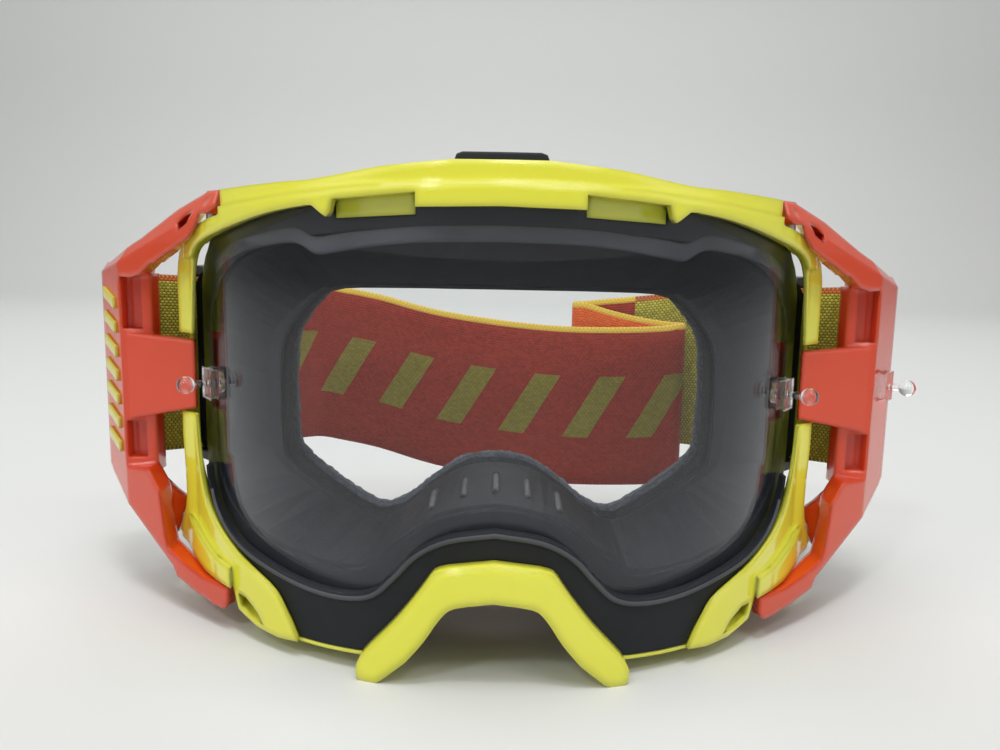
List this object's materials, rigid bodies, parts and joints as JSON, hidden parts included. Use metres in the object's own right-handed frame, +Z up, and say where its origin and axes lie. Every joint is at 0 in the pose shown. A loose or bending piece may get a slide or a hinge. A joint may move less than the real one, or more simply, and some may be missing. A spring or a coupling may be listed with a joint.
{
  "type": "motocross goggles",
  "caption": "Motocross goggles: curved clear lens in a bright frame, swinging strap outriggers, soft face frame with layered foam, pull-off nose guard and elastic strap.",
  "frame": {"origin": "middle of the footprint, at the height of the surface that the goggles stand on", "axes": "+X towards the wearer's left, -Y out of the front of the lens, +Z up"},
  "size_m": [0.2185, 0.1086, 0.1138],
  "materials": {
    "yellow_plastic": "glossy fluorescent yellow",
    "badge_plastic": "satin dark grey",
    "soft_frame": "matt soft black",
    "lens_clear": "clear, thin, polished on both faces",
    "post_clear": "clear, polished",
    "foam_black": "fine open foam",
    "foam_grey": "fine open foam",
    "fleece": "brushed fleece",
    "vent_foam": "coarse open foam",
    "guard_plastic": "glossy fluorescent yellow",
    "orange_plastic": "glossy orange-red",
    "bar_yellow": "glossy yellow",
    "pin_steel": "plain steel",
    "strap_knit": "heathered elastic knit in yellow, orange and black",
    "slider_plastic": "satin black"
  },
  "bodies": {
    "frame_body": {"outer_frame": "yellow_plastic", "brow_badge": "badge_plastic", "face_frame": "soft_frame", "lens": "lens_clear", "lens_post_left": "post_clear", "lens_post_right": "post_clear", "foam_base": "foam_black", "foam_mid": "foam_grey", "face_fleece": "fleece", "top_vent_foam": "vent_foam", "bottom_vent_foams": "vent_foam", "strap_rear": "strap_knit"},
    "right_outrigger": {"outrigger_right": "orange_plastic", "hinge_pins_right": "pin_steel", "tab_post": "post_clear", "strap_right": "strap_knit"},
    "left_outrigger": {"outrigger_left": "orange_plastic", "outrigger_bars_left": "bar_yellow", "hinge_pins_left": "pin_steel", "strap_left": "strap_knit"},
    "guard": {"nose_guard": "guard_plastic"},
    "right_slider": {"slider_right": "slider_plastic"},
    "left_slider": {"slider_left": "slider_plastic"}
  },
  "joints": [
    {"name": "right_outrigger_swing", "type": "hinge", "parent": "frame_body", "child": "right_outrigger", "pos_m": [0.0678, -0.0209, 0.05], "axis": [0, 0, -1], "range_deg": [0, 8]},
    {"name": "left_outrigger_swing", "type": "hinge", "parent": "frame_body", "child": "left_outrigger", "pos_m": [-0.0678, -0.0209, 0.05], "axis": [0, 0, 1], "range_deg": [0, 8]},
    {"name": "nose_guard_pull", "type": "slide", "parent": "frame_body", "child": "guard", "axis": [0, -1, 0], "range_m": [0, 0.008]},
    {"name": "right_slider_adjust", "type": "slide", "parent": "right_outrigger", "child": "right_slider", "axis": [-0.693, 0.7177, -0.0684], "range_m": [-0.012, 0.01]},
    {"name": "left_slider_adjust", "type": "slide", "parent": "left_outrigger", "child": "left_slider", "axis": [0.693, 0.7177, -0.0684], "range_m": [-0.012, 0.01]}
  ]
}
